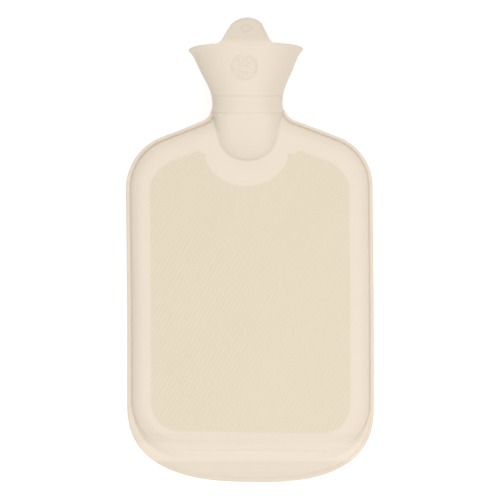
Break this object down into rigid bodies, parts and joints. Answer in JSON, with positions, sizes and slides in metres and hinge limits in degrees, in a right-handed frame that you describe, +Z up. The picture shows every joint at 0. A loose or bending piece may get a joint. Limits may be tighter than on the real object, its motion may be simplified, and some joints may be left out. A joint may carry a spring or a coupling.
{
  "type": "hot water bottle",
  "caption": "Flat moulded rubber bottle for hot water, with a wide pouring funnel, a hanging tab and a screw stopper in the neck.",
  "frame": {"origin": "centre of the bottle's footprint, on the surface that its back lies on", "axes": "+Y along the bottle towards the funnel and the hanging tab, +Z up out of the front panel, +X to the right as seen from the front with the funnel up"},
  "size_m": [0.1996, 0.3746, 0.048],
  "materials": {
    "natural_rubber": "matte",
    "insert_polymer": "satin",
    "washer_rubber": "matte",
    "stopper_polymer": "satin"
  },
  "bodies": {
    "bottle": {"rubber_bottle": "natural_rubber", "neck_ferrule": "insert_polymer"},
    "washer": {"stopper_washer": "washer_rubber"},
    "stopper": {"stopper": "stopper_polymer"}
  },
  "joints": [
    {"name": "stopper_lift", "type": "slide", "parent": "bottle", "child": "washer", "axis": [0, 1, 0], "range_m": [0, 0.062]},
    {"name": "stopper_turn", "type": "hinge", "parent": "washer", "child": "stopper", "pos_m": [-0.0016, 0.122, 0.024], "axis": [0, 1, 0], "range_deg": [0, 5580]}
  ],
  "couplings": [
    {"joint": "stopper_lift", "follows": "stopper_turn", "m_per_rad": 0.00063662}
  ]
}
